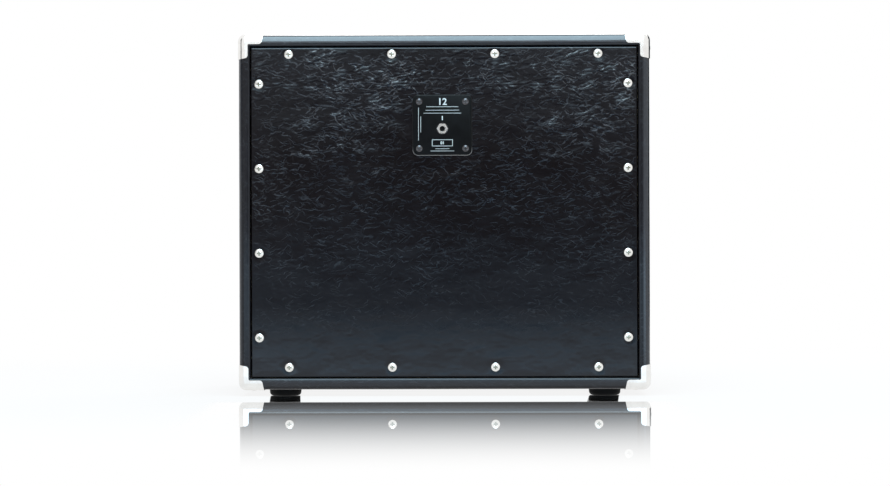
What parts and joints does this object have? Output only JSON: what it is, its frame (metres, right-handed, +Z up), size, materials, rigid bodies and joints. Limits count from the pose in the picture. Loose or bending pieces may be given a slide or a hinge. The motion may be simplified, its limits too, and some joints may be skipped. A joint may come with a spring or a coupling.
{
  "type": "guitar speaker cabinet",
  "caption": "Closed-back guitar speaker cabinet: vinyl-covered box with screwed rear panel, jack plate, metal corners, rubber feet, side handles and a driver behind a cloth grille.",
  "frame": {"origin": "on the floor under the middle of the cabinet", "axes": "+Z up, +X to the right seen from the grille side, +Y out of the rear panel"},
  "size_m": [0.5208, 0.302, 0.4571],
  "materials": {
    "plywood": "matte",
    "vinyl": "satin",
    "cloth": "matte",
    "foam": "matte",
    "nickel": "polished",
    "zinc": "satin",
    "black_screw": "satin",
    "black_plate": "satin",
    "rubber": "matte",
    "black_plastic": "matte",
    "phenolic": "matte",
    "contact": "satin",
    "basket": "satin",
    "gasket": "matte",
    "steel": "satin",
    "ferrite": "matte",
    "paper": "matte",
    "spider": "matte",
    "former": "satin",
    "copper": "satin",
    "red_lead": "satin",
    "black_lead": "satin"
  },
  "bodies": {
    "cabinet": {"top_board": "plywood", "bottom_board": "plywood", "left_board": "plywood", "right_board": "plywood", "rear_cleats": "plywood", "front_cleats": "plywood", "rear_panel_board": "plywood", "baffle_board": "plywood", "grille_frame": "plywood", "vinyl_cover": "vinyl", "rear_panel_vinyl": "vinyl", "grille_cloth": "cloth", "rear_panel_seal": "foam", "corner_rear_top_left": "nickel", "corner_rear_top_right": "nickel", "corner_rear_bottom_left": "nickel", "corner_rear_bottom_right": "nickel", "corner_front_top_left": "nickel", "corner_front_top_right": "nickel", "corner_front_bottom_left": "nickel", "corner_front_bottom_right": "nickel", "jack_frame": "nickel", "jack_washer": "nickel", "jack_nut": "nickel", "rear_panel_screws": "zinc", "corner_screws": "zinc", "baffle_screws": "zinc", "grille_screws": "zinc", "foot_screws": "zinc", "speaker_bolts": "zinc", "speaker_tee_nuts": "zinc", "jack_plate_screws": "black_screw", "handle_screws": "black_screw", "jack_plate": "black_plate", "foot_front_left": "rubber", "foot_front_right": "rubber", "foot_rear_left": "rubber", "foot_rear_right": "rubber", "side_handle_left": "black_plastic", "side_handle_right": "black_plastic", "lead_clips": "black_plastic", "jack_insulators": "phenolic", "terminal_board": "phenolic", "jack_tip_lug": "contact", "terminal_tabs": "contact", "tinsel_leads": "contact", "speaker_basket": "basket", "speaker_gasket": "gasket", "front_plate": "steel", "back_plate_pole": "steel", "magnet_ring": "ferrite", "surround": "paper", "spider": "spider", "lead_red": "red_lead", "lead_black": "black_lead"},
    "cone_assembly": {"cone": "paper", "dust_cap": "paper", "voice_coil_former": "former", "voice_coil_winding": "copper"},
    "tip_spring": {"jack_tip_spring": "contact"}
  },
  "joints": [
    {"name": "cone_travel", "type": "slide", "parent": "cabinet", "child": "cone_assembly", "axis": [0, -1, 0], "range_m": [-0.004, 0.004], "stiffness_N_per_m": 7500, "deforming": ["surround", "spider", "tinsel_leads"]},
    {"name": "tip_spring_flex", "type": "hinge", "parent": "cabinet", "child": "tip_spring", "pos_m": [0.002, 0.1355, 0.3434], "axis": [-1, 0, 0], "range_deg": [0, 7], "stiffness_Nm_per_rad": 0.7}
  ]
}
